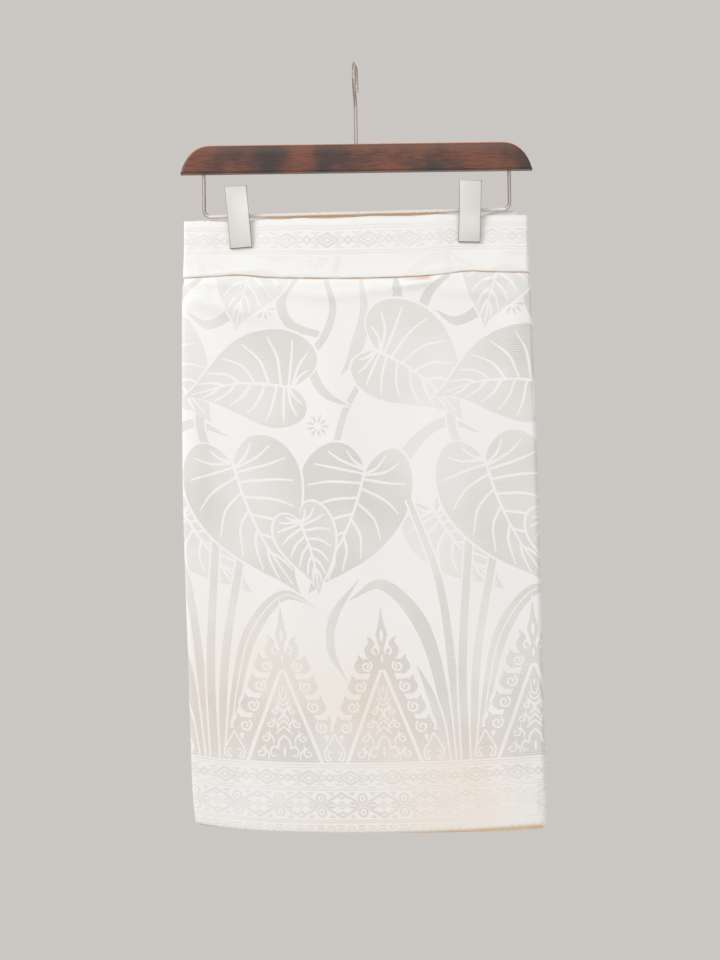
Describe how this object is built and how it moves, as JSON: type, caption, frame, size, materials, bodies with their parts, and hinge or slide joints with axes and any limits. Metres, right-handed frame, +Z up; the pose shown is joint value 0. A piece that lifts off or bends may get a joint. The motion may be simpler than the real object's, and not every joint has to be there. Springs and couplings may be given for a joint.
{
  "type": "folded sampin on a wooden clip hanger",
  "caption": "White brocade sampin, a tube of cloth with a waistband, folded in three and gripped by two spring clips on a wooden bar hanger with a wire hook.",
  "frame": {"origin": "inside top of the wire hook, where a rail carries the hanger", "axes": "+Z up, -Y out of the front of the cloth, X across it with +X at the viewer's right"},
  "size_m": [0.3887, 0.0415, 0.8339],
  "materials": {
    "brocade": "white on white jacquard, soft sheen",
    "brocade_inside": "folded layers, seen at the edges",
    "wood": "dark stained and semi-gloss",
    "chrome_wire": "bright plated wire",
    "clip_plate": "satin plated sheet"
  },
  "bodies": {
    "root": {"band_front": "brocade", "band_back": "brocade", "band_layers": "brocade_inside", "panel_front": "brocade", "panel_back": "brocade", "panel_layers": "brocade_inside", "hanger_bar": "wood", "hanger_hook": "chrome_wire", "hanger_rod": "chrome_wire", "clip_left_front": "clip_plate", "clip_left_back": "clip_plate", "clip_left_spring": "chrome_wire", "clip_right_front": "clip_plate", "clip_right_back": "clip_plate", "clip_right_spring": "chrome_wire"}
  },
  "joints": []
}
